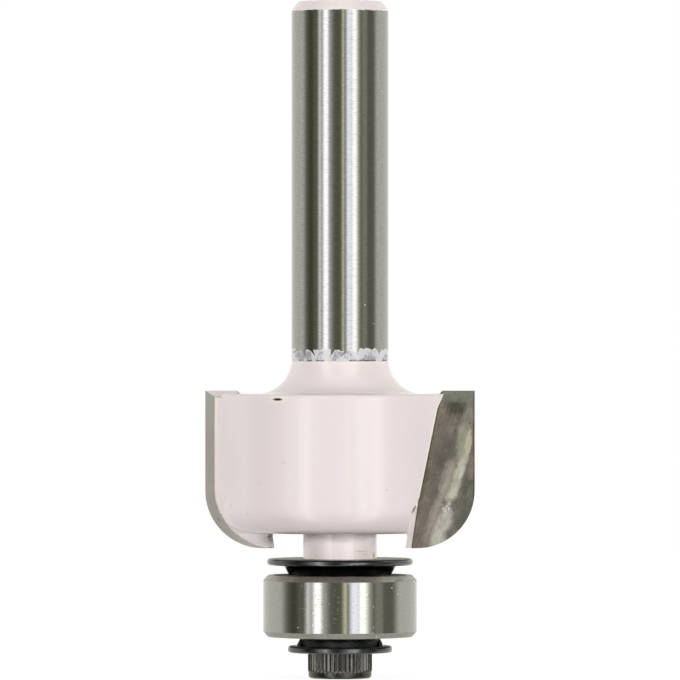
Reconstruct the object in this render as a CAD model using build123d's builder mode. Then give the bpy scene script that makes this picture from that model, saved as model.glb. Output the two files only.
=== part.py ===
from build123d import *
from math import pi, radians, sqrt, tan
import os

# Edge-rounding router bit, in millimetres. Two hard tips are brazed to a steel
# body, and a ball bearing on the stud under them follows the work.
# The tool's axis is Z, with the shank up. z = 0 is the flat end of the bearing
# screw, and the cutting face on the +X side looks along -Y.

# Shank and body
shank_d = 8.0
shank_len = 32.32  # above the body
shank_fillet_r = 2.85
shank_bevel_w = 0.5
shank_bevel_h = 0.75
shank_edge_r = 0.6  # rounding between the bevel and the end
body_d = 20.0
body_h = 11.43
body_foot_r = 2.2  # rounding of the body's lower edge
body_edge_r = 0.45  # rounding of its upper edge

# Neck, stud and tapped hole
neck_d = 6.1
neck_len = 2.18
stud_short = 0.2  # the stud stops this far inside the bearing
stud_bevel = 0.25
stud_fit = 0.005  # radial play in the bearing and in the upper dust shield
drill_point = 118.0

# Cutting profile
wing_count = 2
cutter_d = 22.225
tip_h = 13.0
tip_t = 2.0
tip_drop = 1.33  # the tips reach this far below the body
tip_overlap = 0.45  # a tip's inner lower corner lies this far inside the bearing's rim
tip_head_w = 3.21  # a tip's width at its top
tip_ledge_w = 2.65  # inside this the tip's top is level with the body
side_relief = 0.79
foot_relief = 0.1
top_relief = 0.47
relief_flattening = 0.15  # added to the corner's radius at the tip's back
seat_gap = 0.03

# Steel wing behind each tip
wing_depth = 5.0
wing_step = 0.05  # the steel lies this far inside the tip's back edge
wing_sink = 0.05  # the wing's back ends this far inside the body's side
wing_foot_sink = 0.32  # inside the body's lower face
wing_top_sink = 0.66  # inside its upper face
wing_extra_r = 0.4  # added to the rounding of the body's lower edge
wing_wall = 0.5  # steel between the tip and the wing's inner wall
wing_splay = 6.5
wing_root_r = 0.35

# Gullet in front of each cutting face
gullet_top_gap = 0.125  # outside the tip's ledge
gullet_bend_gap = 0.28  # outside the tip's inner edge, at the upper bend
gullet_bend_h = 11.61  # height of that bend above the tip's foot
gullet_knee_gap = 0.13  # inside the tip's inner edge, at the knee
gullet_knee_h = 3.81
gullet_notch_gap = 0.55  # inside it, at the foot of the notch under the knee
gullet_notch_h = 2.84
gullet_foot_gap = 0.42  # inside the tip's inner lower corner
gullet_run = 1.5  # how far the cutter runs past the tips

# Ball bearing
bearing_d = 12.7
bearing_bore = 4.762
bearing_w = 5.08
bearing_bevel_w = 0.4
bearing_bevel_h = 0.45
bore_bevel = 0.2
ball_d = 2.381
ball_spacing_ratio = 1.6  # pitch circle that each ball takes, over its diameter
race_conformity = 0.52  # groove radius over ball diameter
race_play = 0.015
inner_groove = 0.475  # depth of the inner ring's groove
outer_groove = 0.456
plate_seat = 0.4  # step that a bearing shield rests on
plate_t = 0.25
plate_room = 0.25  # from the bearing shield to the cage
plate_fit = 0.01
plate_gap = 0.13  # from the bearing shield to the inner ring
snap_wire_d = 0.24
snap_groove = 0.05
cage_t = 0.2
cage_play = 0.05  # ball pocket
cage_land_gap = 0.2
rivet_d = 0.5
rivet_head_d = 0.8
rivet_head_h = 0.12
rivet_fit = 0.01

# Dust shields
upper_shield_h = 1.35
upper_flange_d = 12.0
upper_flange_t = 0.52
upper_cone_top_d = 9.36
upper_cone_foot_d = 8.38
lower_shield_h = 1.31
lower_flange_d = 8.6
lower_flange_t = 0.55
lower_cone_top_d = 6.4
lower_cone_foot_d = 7.28
rim_r = 0.2

# Bearing screw
screw_d = 3.0
screw_len = 8.0
screw_head_d = 5.3
screw_head_h = 3.0
screw_head_r = 0.25  # rounding of its outer edge
screw_sink = 0.88  # sunk into the lower dust shield
screw_point = 0.3
tapped_room = 2.24  # full thread past the screw's end
thread_fit = 0.02
screw_hole_play = 0.1
sink_play = 0.1
hex_af = 2.5
hex_depth = 1.5

# Heights, from the screw's flat end
lower_shield_z = screw_head_h - screw_sink
bearing_z = lower_shield_z + lower_shield_h
bearing_mid_z = bearing_z + bearing_w / 2
bearing_top_z = bearing_z + bearing_w
neck_z = bearing_top_z + upper_shield_h
body_z = neck_z + neck_len
body_top_z = body_z + body_h
shank_top_z = body_top_z + shank_len
tip_z = body_z - tip_drop
tip_top_z = tip_z + tip_h
stud_z = bearing_z + stud_short

# Radii that several pieces share
shank_r = shank_d / 2
body_r = body_d / 2
neck_r = neck_d / 2
cutter_r = cutter_d / 2
bearing_r = bearing_d / 2
bore_r = bearing_bore / 2
stud_r = bore_r - stud_fit
screw_r = screw_d / 2
corner_r = cutter_r - bearing_r  # the corner starts level with the bearing's rim
tip_foot_r = bearing_r - tip_overlap
tip_head_r = cutter_r - tip_head_w
tip_ledge_r = cutter_r - tip_ledge_w
tip_lean = (tip_head_r - tip_foot_r) / tip_h  # of its inner edge, as a slope

# Inside the bearing
ball_r = ball_d / 2
pitch_r = (bearing_r + bore_r) / 2
ball_count = int(2 * pi * pitch_r / (ball_spacing_ratio * ball_d))
race_r = race_conformity * ball_d
inner_land_r = pitch_r - ball_r + inner_groove
outer_land_r = pitch_r + ball_r - outer_groove
recess_r = outer_land_r + plate_seat
pocket_r = ball_r + cage_play
recess_depth = bearing_w / 2 - pocket_r - cage_t - plate_room


# Inner edge of a tip's flat face, as a radius at the height z
def tip_inner_r(z):
    return tip_foot_r + (z - tip_z) * tip_lean


# Height of the rounded profile at the radius r
def profile_z(r, side_r, foot_z, arc_r):
    past = max(r - (side_r - arc_r), 0)
    return foot_z + arc_r - sqrt(arc_r**2 - past**2)


# The plane of the +X wing's cutting face, moved back into the wing
def wing_plane(back=0.0):
    return Plane.XZ.offset(-back)


# Outline of a tip: straight side, rounded lower corner and leaning inner edge
def tip_outline(plane, side_r, foot_z, arc_r, fall):
    inner = (tip_inner_r(tip_z), profile_z(tip_inner_r(tip_z), side_r, foot_z, arc_r))
    arc_start = (bearing_r, profile_z(bearing_r, side_r, foot_z, arc_r))
    arc_end = (side_r, foot_z + arc_r)
    ledge_z = body_top_z - fall
    crest_z = tip_top_z - fall
    with BuildSketch(plane) as outline:
        with BuildLine():
            Line(inner, arc_start)
            RadiusArc(arc_start, arc_end, -arc_r)
            Polyline(
                arc_end,
                (side_r, crest_z),
                (tip_ledge_r, crest_z),
                (tip_ledge_r - (tip_top_z - body_top_z), ledge_z),
                (tip_inner_r(ledge_z), ledge_z),
                inner,
            )
        make_face()
    return outline.sketch


# Outline of a steel wing, which reaches inwards to the axis
def wing_outline(plane, side_r, foot_z, arc_r, crest_z):
    crest_r = side_r - tip_ledge_w
    arc_start = (side_r - arc_r, foot_z)
    arc_end = (side_r, foot_z + arc_r)
    with BuildSketch(plane) as outline:
        with BuildLine():
            Line((0, foot_z), arc_start)
            RadiusArc(arc_start, arc_end, -arc_r)
            Polyline(
                arc_end, (side_r, crest_z), (crest_r, crest_z), (0, crest_z - crest_r), (0, foot_z)
            )
        make_face()
    return outline.sketch


# One tip, on the +X side, with relief behind every cutting edge
with BuildPart() as tip_blank:
    front = tip_outline(wing_plane(), cutter_r, tip_z, corner_r, 0)
    back = tip_outline(
        wing_plane(tip_t),
        cutter_r - side_relief,
        tip_z + foot_relief,
        corner_r + relief_flattening,
        top_relief,
    )
    loft([front, back], ruled=True)

# Room milled inside one wing and under the body, rounded where the two meet
wall_cut_depth = 2 * tip_drop
wall_plane = Plane(
    origin=(tip_foot_r - wing_wall + tip_drop * tip_lean, 0, body_z),
    x_dir=(1, -tan(radians(wing_splay)), 0),
    z_dir=(-tan(radians(wing_splay)), -1, 0),
)
with BuildPart() as wall_cut:
    with BuildSketch(wall_plane) as wall_section:
        with BuildLine():
            Polyline(
                (0, 0),
                (-body_r, 0),
                (-body_r, -wall_cut_depth),
                (-wall_cut_depth * tip_lean, -wall_cut_depth),
                close=True,
            )
        make_face()
        fillet(wall_section.vertices().sort_by_distance((0, 0, 0))[0], wing_root_r)
    extrude(amount=2 * wing_depth, both=True)

# One steel wing: it falls away behind the tip until it meets the round body
with BuildPart() as wing_blank:
    back_side_r = sqrt(body_r**2 - wing_depth**2) - wing_sink
    back_arc_r = body_foot_r + wing_extra_r
    front = wing_outline(wing_plane(), cutter_r, tip_z, corner_r, tip_top_z)
    middle = wing_outline(
        wing_plane(tip_t),
        cutter_r - side_relief - wing_step,
        tip_z + foot_relief + wing_step,
        corner_r + relief_flattening,
        tip_top_z - top_relief - wing_step,
    )
    back = wing_outline(
        wing_plane(wing_depth),
        back_side_r,
        body_z + wing_foot_sink,
        back_arc_r,
        body_top_z - wing_top_sink,
    )
    loft([front, middle, back], ruled=True)
    add(wall_cut.part, mode=Mode.SUBTRACT)

# The seat that one tip is brazed into, open at the wing's outside
with BuildPart() as seat_cut:
    with BuildSketch(wing_plane()):
        with BuildLine():
            Polyline(
                (tip_inner_r(tip_z - gullet_run) - seat_gap, tip_z - gullet_run),
                (cutter_r + gullet_run, tip_z - gullet_run),
                (cutter_r + gullet_run, tip_top_z + gullet_run),
                (tip_inner_r(tip_top_z + gullet_run) - seat_gap, tip_top_z + gullet_run),
                close=True,
            )
        make_face()
    extrude(amount=-tip_t)

# The gullet in front of one tip
gullet_notch_z = tip_z + gullet_notch_h
gullet_knee_z = tip_z + gullet_knee_h
gullet_bend_z = tip_z + gullet_bend_h
gullet_top_z = tip_top_z + gullet_run
gullet_foot_r = tip_foot_r - gullet_foot_gap
gullet_notch_r = tip_inner_r(gullet_notch_z) - gullet_notch_gap
gullet_knee_r = tip_inner_r(gullet_knee_z) - gullet_knee_gap
gullet_bend_r = tip_inner_r(gullet_bend_z) + gullet_bend_gap
gullet_top_r = tip_ledge_r + gullet_top_gap
gullet_lean = (gullet_top_r - gullet_bend_r) / (tip_top_z - gullet_bend_z)
with BuildPart() as gullet_cut:
    with BuildSketch(wing_plane()):
        with BuildLine():
            Polyline(
                (gullet_foot_r, body_z),
                (gullet_notch_r, gullet_notch_z),
                (gullet_knee_r, gullet_knee_z),
                (gullet_bend_r, gullet_bend_z),
                (gullet_top_r + gullet_lean * gullet_run, gullet_top_z),
                (cutter_r + gullet_run, gullet_top_z),
                (cutter_r + gullet_run, body_z - gullet_run),
                (gullet_foot_r, body_z - gullet_run),
                close=True,
            )
        make_face()
    extrude(amount=body_r)

# Shank, body, neck and stud are turned from one bar, and the wings are milled
with BuildPart() as cutter_body:
    with BuildSketch(Plane.XZ) as turned_section:
        with BuildLine():
            Polyline(
                (0, stud_z),
                (stud_r - stud_bevel, stud_z),
                (stud_r, stud_z + stud_bevel),
                (stud_r, neck_z),
                (neck_r, neck_z),
                (neck_r, body_z),
                (body_r - body_foot_r, body_z),
            )
            RadiusArc((body_r - body_foot_r, body_z), (body_r, body_z + body_foot_r), -body_foot_r)
            Line((body_r, body_z + body_foot_r), (body_r, body_top_z - body_edge_r))
            RadiusArc(
                (body_r, body_top_z - body_edge_r), (body_r - body_edge_r, body_top_z), -body_edge_r
            )
            Line((body_r - body_edge_r, body_top_z), (shank_r + shank_fillet_r, body_top_z))
            RadiusArc(
                (shank_r + shank_fillet_r, body_top_z),
                (shank_r, body_top_z + shank_fillet_r),
                shank_fillet_r,
            )
            Polyline(
                (shank_r, body_top_z + shank_fillet_r),
                (shank_r, shank_top_z - shank_bevel_h),
                (shank_r - shank_bevel_w, shank_top_z),
                (0, shank_top_z),
                (0, stud_z),
            )
        make_face()
        shank_end = (shank_r - shank_bevel_w, 0, shank_top_z)
        fillet(turned_section.vertices().sort_by_distance(shank_end)[0], shank_edge_r)
    revolve(axis=Axis.Z)
    with PolarLocations(0, wing_count):
        add(wing_blank.part)
    with PolarLocations(0, wing_count):
        add(gullet_cut.part, mode=Mode.SUBTRACT)
    with PolarLocations(0, wing_count):
        add(seat_cut.part, mode=Mode.SUBTRACT)
    tapped_r = screw_r + thread_fit
    tapped_z = screw_head_h + screw_len + tapped_room
    with BuildSketch(Plane.XZ):
        with BuildLine():
            Polyline(
                (0, stud_z - stud_bevel),
                (tapped_r, stud_z - stud_bevel),
                (tapped_r, tapped_z),
                (0, tapped_z + tapped_r / tan(radians(drill_point / 2))),
                close=True,
            )
        make_face()
    revolve(axis=Axis.Z, mode=Mode.SUBTRACT)

# Dust shield between the neck and the bearing, clamped on the stud
with BuildPart() as upper_dust_shield:
    flange_z = neck_z - upper_flange_t
    with BuildSketch(Plane.XZ):
        with BuildLine():
            Polyline(
                (bore_r, bearing_top_z),
                (upper_cone_foot_d / 2, bearing_top_z),
                (upper_cone_top_d / 2, flange_z),
                (upper_flange_d / 2, flange_z),
                (upper_flange_d / 2, neck_z),
                (bore_r, neck_z),
                close=True,
            )
        make_face()
    revolve(axis=Axis.Z)
    rim = upper_dust_shield.edges().filter_by(GeomType.CIRCLE).sort_by(SortBy.RADIUS)[-2:]
    fillet(rim, min(rim_r, 0.45 * upper_flange_t))

# Dust shield under the bearing, with a sunk seat for the screw's head
with BuildPart() as lower_dust_shield:
    flange_top_z = lower_shield_z + lower_flange_t
    sink_r = screw_head_d / 2 + sink_play
    screw_hole_r = screw_r + screw_hole_play
    with BuildSketch(Plane.XZ):
        with BuildLine():
            Polyline(
                (sink_r, lower_shield_z),
                (lower_flange_d / 2, lower_shield_z),
                (lower_flange_d / 2, flange_top_z),
                (lower_cone_foot_d / 2, flange_top_z),
                (lower_cone_top_d / 2, bearing_z),
                (screw_hole_r, bearing_z),
                (screw_hole_r, screw_head_h),
                (sink_r, screw_head_h),
                close=True,
            )
        make_face()
    revolve(axis=Axis.Z)
    rim = lower_dust_shield.edges().filter_by(GeomType.CIRCLE).sort_by(SortBy.RADIUS)[-2:]
    fillet(rim, min(rim_r, 0.45 * lower_flange_t))

# Socket-head screw that clamps the shields and the bearing's inner ring
with BuildPart() as bearing_screw:
    with BuildSketch(Plane.XY):
        Circle(screw_head_d / 2)
    extrude(amount=screw_head_h)
    with BuildSketch(Plane.XY.offset(screw_head_h)):
        Circle(screw_r)
    extrude(amount=screw_len)
    point = bearing_screw.edges().filter_by(GeomType.CIRCLE).sort_by(Axis.Z)[-1]
    chamfer(point, screw_point)
    foot_edge = bearing_screw.edges().filter_by(GeomType.CIRCLE).sort_by(Axis.Z)[0]
    fillet(foot_edge, screw_head_r)
    with BuildSketch(Plane.XY):
        RegularPolygon(hex_af / 2, 6, major_radius=False)
    extrude(amount=hex_depth, mode=Mode.SUBTRACT)

# Inner ring, clamped between the dust shields
with BuildPart() as inner_ring:
    with BuildSketch(Plane.XZ):
        with BuildLine():
            Polyline(
                (bore_r, bearing_z + bore_bevel),
                (bore_r + bore_bevel, bearing_z),
                (inner_land_r, bearing_z),
                (inner_land_r, bearing_top_z),
                (bore_r + bore_bevel, bearing_top_z),
                (bore_r, bearing_top_z - bore_bevel),
                close=True,
            )
        make_face()
        with Locations((pitch_r - ball_r - race_play + race_r, bearing_mid_z)):
            Circle(race_r, mode=Mode.SUBTRACT)
    revolve(axis=Axis.Z)

# Outer ring, whose rim runs on the work. Each face has a recess for a shield
with BuildPart() as outer_ring:
    with BuildSketch(Plane.XZ):
        with BuildLine():
            Polyline(
                (recess_r, bearing_z),
                (bearing_r - bearing_bevel_w, bearing_z),
                (bearing_r, bearing_z + bearing_bevel_h),
                (bearing_r, bearing_top_z - bearing_bevel_h),
                (bearing_r - bearing_bevel_w, bearing_top_z),
                (recess_r, bearing_top_z),
                (recess_r, bearing_top_z - recess_depth),
                (outer_land_r, bearing_top_z - recess_depth),
                (outer_land_r, bearing_z + recess_depth),
                (recess_r, bearing_z + recess_depth),
                close=True,
            )
        make_face()
        with Locations((pitch_r + ball_r + race_play - race_r, bearing_mid_z)):
            Circle(race_r, mode=Mode.SUBTRACT)
    revolve(axis=Axis.Z)
    groove_h = snap_wire_d + 2 * snap_groove
    groove_shift = bearing_w / 2 - recess_depth + plate_t + groove_h / 2
    for side in (-1, 1):
        with BuildSketch(Plane.XY.offset(bearing_mid_z + side * groove_shift)):
            Circle(recess_r + snap_groove)
        extrude(amount=groove_h / 2, both=True, mode=Mode.SUBTRACT)

# Balls, evenly spaced on the pitch circle
balls = []
for number in range(ball_count):
    centre = Vector(pitch_r, 0, bearing_mid_z).rotate(Axis.Z, number * 360 / ball_count)
    with BuildPart() as ball:
        with Locations(centre):
            Sphere(ball_r)
    ball.part.label = f"ball_{number + 1}"
    balls.append(ball.part)


# Half of the pressed cage: a flat ring with a round pocket over each ball
cage_inner_r = inner_land_r + cage_land_gap
cage_outer_r = outer_land_r - cage_land_gap
half_step = 180 / ball_count
with BuildPart() as cage_upper:
    with BuildSketch(Plane.XY.offset(bearing_mid_z)):
        Circle(cage_outer_r)
        Circle(cage_inner_r, mode=Mode.SUBTRACT)
    extrude(amount=cage_t)
    with Locations((0, 0, bearing_mid_z)):
        with PolarLocations(pitch_r, ball_count):
            Sphere(pocket_r + cage_t)
    with BuildSketch(Plane.XY.offset(bearing_mid_z)):
        Circle(cage_outer_r)
        Circle(cage_inner_r, mode=Mode.SUBTRACT)
    extrude(amount=pocket_r + 2 * cage_t, mode=Mode.INTERSECT)
    with Locations((0, 0, bearing_mid_z)):
        with PolarLocations(pitch_r, ball_count):
            Sphere(pocket_r, mode=Mode.SUBTRACT)
        with PolarLocations(pitch_r, ball_count, start_angle=half_step):
            Cylinder(rivet_d / 2 + rivet_fit, 4 * cage_t, mode=Mode.SUBTRACT)

with BuildPart() as cage_lower:
    mirror(cage_upper.part, about=Plane.XY.offset(bearing_mid_z))

# Rivets through both halves, one between each pair of balls
with BuildPart() as cage_rivets:
    with Locations((0, 0, bearing_mid_z)):
        with PolarLocations(pitch_r, ball_count, start_angle=half_step):
            Cylinder(rivet_d / 2, 2 * cage_t)
    for side in (Align.MIN, Align.MAX):
        head_z = bearing_mid_z + (cage_t if side == Align.MIN else -cage_t)
        with Locations((0, 0, head_z)):
            with PolarLocations(pitch_r, ball_count, start_angle=half_step):
                Cylinder(rivet_head_d / 2, rivet_head_h, align=(Align.CENTER, Align.CENTER, side))

# Shield plates that close the bearing, each held in its recess by a snap wire
with BuildPart() as bearing_shield_upper:
    with BuildSketch(Plane.XY.offset(bearing_top_z - recess_depth)):
        Circle(recess_r - plate_fit)
        Circle(inner_land_r + plate_gap, mode=Mode.SUBTRACT)
    extrude(amount=plate_t)

with BuildPart() as snap_wire_upper:
    wire_r = recess_r + snap_groove - snap_wire_d / 2
    with BuildSketch(Plane.XZ):
        with Locations((wire_r, bearing_top_z - recess_depth + plate_t + snap_wire_d / 2)):
            Circle(snap_wire_d / 2)
    revolve(axis=Axis.Z)

with BuildPart() as bearing_shield_lower:
    mirror(bearing_shield_upper.part, about=Plane.XY.offset(bearing_mid_z))

with BuildPart() as snap_wire_lower:
    mirror(snap_wire_upper.part, about=Plane.XY.offset(bearing_mid_z))

# The two tips, each in its own wing's seat
tips = []
for index in range(wing_count):
    with BuildPart() as carbide_tip:
        with Locations(Location((0, 0, 0), (0, 0, index * 360 / wing_count))):
            add(tip_blank.part)
    carbide_tip.part.label = f"carbide_tip_{index + 1}"
    tips.append(carbide_tip.part)

cutter_body.part.label = "cutter_body"
upper_dust_shield.part.label = "upper_dust_shield"
lower_dust_shield.part.label = "lower_dust_shield"
bearing_screw.part.label = "bearing_screw"
inner_ring.part.label = "inner_ring"
outer_ring.part.label = "outer_ring"
cage_upper.part.label = "cage_upper"
cage_lower.part.label = "cage_lower"
cage_rivets.part.label = "cage_rivets"
bearing_shield_upper.part.label = "bearing_shield_upper"
bearing_shield_lower.part.label = "bearing_shield_lower"
snap_wire_upper.part.label = "snap_wire_upper"
snap_wire_lower.part.label = "snap_wire_lower"

os.makedirs("parts", exist_ok=True)
export_step(cutter_body.part, "parts/cutter_body.step")
export_step(upper_dust_shield.part, "parts/upper_dust_shield.step")
export_step(lower_dust_shield.part, "parts/lower_dust_shield.step")
export_step(bearing_screw.part, "parts/bearing_screw.step")
export_step(inner_ring.part, "parts/inner_ring.step")
export_step(outer_ring.part, "parts/outer_ring.step")
export_step(cage_upper.part, "parts/cage_upper.step")
export_step(cage_lower.part, "parts/cage_lower.step")
export_step(cage_rivets.part, "parts/cage_rivets.step")
export_step(bearing_shield_upper.part, "parts/bearing_shield_upper.step")
export_step(bearing_shield_lower.part, "parts/bearing_shield_lower.step")
export_step(snap_wire_upper.part, "parts/snap_wire_upper.step")
export_step(snap_wire_lower.part, "parts/snap_wire_lower.step")
for piece in tips + balls:
    export_step(piece, f"parts/{piece.label}.step")
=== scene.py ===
import bmesh
import bpy
from math import cos, pi, radians, sin
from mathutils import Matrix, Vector


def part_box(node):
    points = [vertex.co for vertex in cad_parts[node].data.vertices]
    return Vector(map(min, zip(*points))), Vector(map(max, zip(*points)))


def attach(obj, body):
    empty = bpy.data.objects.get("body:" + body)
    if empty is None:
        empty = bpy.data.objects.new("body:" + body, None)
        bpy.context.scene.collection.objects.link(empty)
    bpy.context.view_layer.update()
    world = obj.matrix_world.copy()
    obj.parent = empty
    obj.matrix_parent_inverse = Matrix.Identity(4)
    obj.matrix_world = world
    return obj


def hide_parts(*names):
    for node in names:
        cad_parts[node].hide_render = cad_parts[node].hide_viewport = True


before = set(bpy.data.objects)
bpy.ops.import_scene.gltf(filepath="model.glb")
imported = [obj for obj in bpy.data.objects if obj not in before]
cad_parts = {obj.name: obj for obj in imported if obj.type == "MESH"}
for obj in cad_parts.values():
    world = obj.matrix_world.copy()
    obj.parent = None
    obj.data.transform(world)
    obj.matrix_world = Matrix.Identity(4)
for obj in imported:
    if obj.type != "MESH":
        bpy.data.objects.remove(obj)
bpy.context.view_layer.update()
mm = 0.001
print("frame loaded:", len(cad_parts), "nodes")


# Camera and room

view = {
    "distance": 636 * mm,  # from the tool's axis
    "height": 27.89 * mm,
    "frameWidth": 56.1 * mm,  # what the frame spans at the axis
    "sensor": 36.0,
    "clip": (0.01, 10),
}
room = {
    "floorSize": 1.6,
    "floorTone": (0.72, 0.72, 0.72, 1),
    "floorFade": (0.08, 0.30),  # the floor melts into the backdrop between these distances
    "shadowShare": 0.35,  # how much of the lit and shaded floor the camera sees
    "whiteLift": 1.38,  # strength of the white that it sees for the rest
    "white": (1, 1, 1, 1),
    "skyStrength": 0.13,
    "lampAim": (0, 0, 0.016),
}
lamps = {
    "frontLeft": {"at": (-0.46, -0.386, 0.066), "size": (0.30, 0.095), "power": 1.97},
    "frontRight": {"at": (0.46, -0.386, 0.066), "size": (0.30, 0.095), "power": 2.23},
    "backLeft": {"at": (-0.46, 0.386, 0.12), "size": (0.30, 0.20), "power": 0.78},
    "backRight": {"at": (0.46, 0.386, 0.12), "size": (0.30, 0.20), "power": 0.78},
    "back": {"at": (0.0, 0.55, 0.10), "size": (0.30, 0.20), "power": 0.90},
    "top": {"at": (0.0, -0.12, 0.62), "size": (0.40, 0.40), "power": 1.22},
}

# The room that polished steel mirrors: dark all round, with upright strips laid over it
mirrorRoom = {
    "dark": (0.25, 0.25, 0.195, 1),
    "ceiling": (0.95, 0.95, 0.92, 1),
    "ceilingSteep": (0.75, 0.95),
}
strips = [  # from and to in degrees, left of the front below 0, softness of both ends, tone
    (-200, -93.3, 10, 10, (0.99, 0.985, 0.92)),  # pale room on the left
    (93.3, 200, 9.5, 9.5, (1.0, 1.0, 0.93)),  # and on the right
    (-81, -66.5, 6, 6, (0.13, 0.13, 0.095)),  # black flag
    (-53.5, -20.6, 4, 9, (1.08, 1.08, 1.05)),  # glow round the left box
    (-51, -47, 1.8, 1.8, (1.50, 1.53, 1.45)),  # its bright side
    (-39.6, -28.2, 3.4, 3.6, (2.95, 2.97, 2.92)),  # left box
    (-9, -2, 3, 3, (0.21, 0.215, 0.165)),  # darkest part between the boxes
    (4.8, 10.4, 3.8, 3, (1.28, 1.28, 0.91)),  # yellow edge of the cool box
    (15.2, 32, 5, 1.5, (2.2, 2.26, 2.5)),  # cool box
    (36, 48, 2, 6, (0.95, 0.95, 0.85)),  # glow beside the right box
    (29.8, 41, 1.8, 5, (2.93, 2.95, 2.85)),  # right box
    (27, 29.2, 2, 1.4, (1.85, 1.89, 1.97)),  # frame between the two
    (54, 67.5, 4, 4, (0.48, 0.48, 0.39)),  # faint board on the right
]


def addNode(tree, kind, links=None, **settings):
    node = tree.nodes.new(kind)
    for name, value in settings.items():
        setattr(node, name, value)
    for key, value in (links or {}).items():
        plug(tree, node.inputs[key], value)
    return node


def plug(tree, socket, value):
    if isinstance(value, bpy.types.NodeSocket):
        tree.links.new(value, socket)
    else:
        socket.default_value = value


def calc(tree, operation, a, b=0.0, clamp=False):
    links = {0: a, 1: b}
    return addNode(tree, "ShaderNodeMath", links, operation=operation, use_clamp=clamp).outputs[0]


def times(tree, product, *others):
    for other in others:
        product = calc(tree, "MULTIPLY", product, other)
    return product


def plus(tree, a, b):
    return calc(tree, "ADD", a, b)


def minus(tree, a, b):
    return calc(tree, "SUBTRACT", a, b)


def below(tree, value, limit):
    return calc(tree, "LESS_THAN", value, limit)


def asIs(tree, value):
    return value


def vectorMath(tree, operation, a, b=(0, 0, 0)):
    return addNode(tree, "ShaderNodeVectorMath", {0: a, 1: b}, operation=operation).outputs


def splitAxes(tree, vector):
    return addNode(tree, "ShaderNodeSeparateXYZ", {0: vector}).outputs


def joinAxes(tree, x, y, z):
    return addNode(tree, "ShaderNodeCombineXYZ", {0: x, 1: y, 2: z}).outputs[0]


def noise(tree, place, scale, detail, roughness=0.5):
    links = {"Vector": place, "Scale": scale, "Detail": detail, "Roughness": roughness}
    return addNode(tree, "ShaderNodeTexNoise", links).outputs


def fade(tree, value, low, high, start=0.0, end=1.0):
    # goes softly from start to end while value goes from low to high
    links = {"Value": value, "From Min": low, "From Max": high, "To Min": start, "To Max": end}
    node = addNode(tree, "ShaderNodeMapRange", links, interpolation_type="SMOOTHSTEP")
    return node.outputs["Result"]


def band(tree, value, low, high, soft, softHigh=None):
    # 1 between low and high, soft at both ends
    softHigh = softHigh or soft
    rise = fade(tree, value, low - soft, low + soft)
    drop = fade(tree, value, high - softHigh, high + softHigh, 1.0, 0.0)
    return times(tree, rise, drop)


def blend(tree, share, a, b):
    node = addNode(tree, "ShaderNodeMix", data_type="RGBA")
    first, second = [socket for socket in node.inputs if socket.type == "RGBA"]
    plug(tree, node.inputs["Factor"], share)
    plug(tree, first, a)
    plug(tree, second, b)
    return [socket for socket in node.outputs if socket.type == "RGBA"][0]


def between(tree, share, a, b):
    return addNode(tree, "ShaderNodeMix", {"Factor": share, 2: a, 3: b}).outputs[0]


def mixShaders(tree, share, a, b):
    return addNode(tree, "ShaderNodeMixShader", {0: share, 1: a, 2: b}).outputs[0]


def glow(tree, kind, tone, strength):
    return addNode(tree, kind, {"Color": tone, "Strength": strength}).outputs[0]


def makeCamera():
    data = bpy.data.cameras.new("photoCamera")
    camera = bpy.data.objects.new("photoCamera", data)
    bpy.context.collection.objects.link(camera)
    camera.location = (0, -view["distance"], view["height"])
    camera.rotation_euler = (radians(90), 0, 0)
    data.sensor_width = view["sensor"]
    data.lens = view["sensor"] * view["distance"] / view["frameWidth"]
    data.clip_start, data.clip_end = view["clip"]
    bpy.context.scene.camera = camera


def makeWorld():
    world = bpy.data.worlds.new("studio")
    bpy.context.scene.world = world
    world.use_nodes = True
    tree = world.node_tree
    tree.nodes.clear()
    axes = splitAxes(tree, addNode(tree, "ShaderNodeTexCoord").outputs["Generated"])
    turn = calc(tree, "ARCTAN2", axes["X"], times(tree, axes["Y"], -1.0))
    angle = times(tree, turn, 180 / pi)
    around = mirrorRoom["dark"]
    for low, high, soft, softHigh, tone in strips:
        around = blend(tree, band(tree, angle, low, high, soft, softHigh), around, (*tone, 1))
    steep = fade(tree, calc(tree, "ABSOLUTE", axes["Z"]), *mirrorRoom["ceilingSteep"])
    mirrored = blend(tree, steep, around, mirrorRoom["ceiling"])
    rays = addNode(tree, "ShaderNodeLightPath").outputs
    sky = glow(tree, "ShaderNodeBackground", room["white"], room["skyStrength"])
    mirror = glow(tree, "ShaderNodeBackground", mirrored, 1.0)
    plain = glow(tree, "ShaderNodeBackground", room["white"], 1.0)
    seen = calc(tree, "MAXIMUM", rays["Is Camera Ray"], rays["Is Transmission Ray"])
    lit = mixShaders(tree, rays["Is Glossy Ray"], sky, mirror)
    addNode(tree, "ShaderNodeOutputWorld", {0: mixShaders(tree, seen, lit, plain)})


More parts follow.
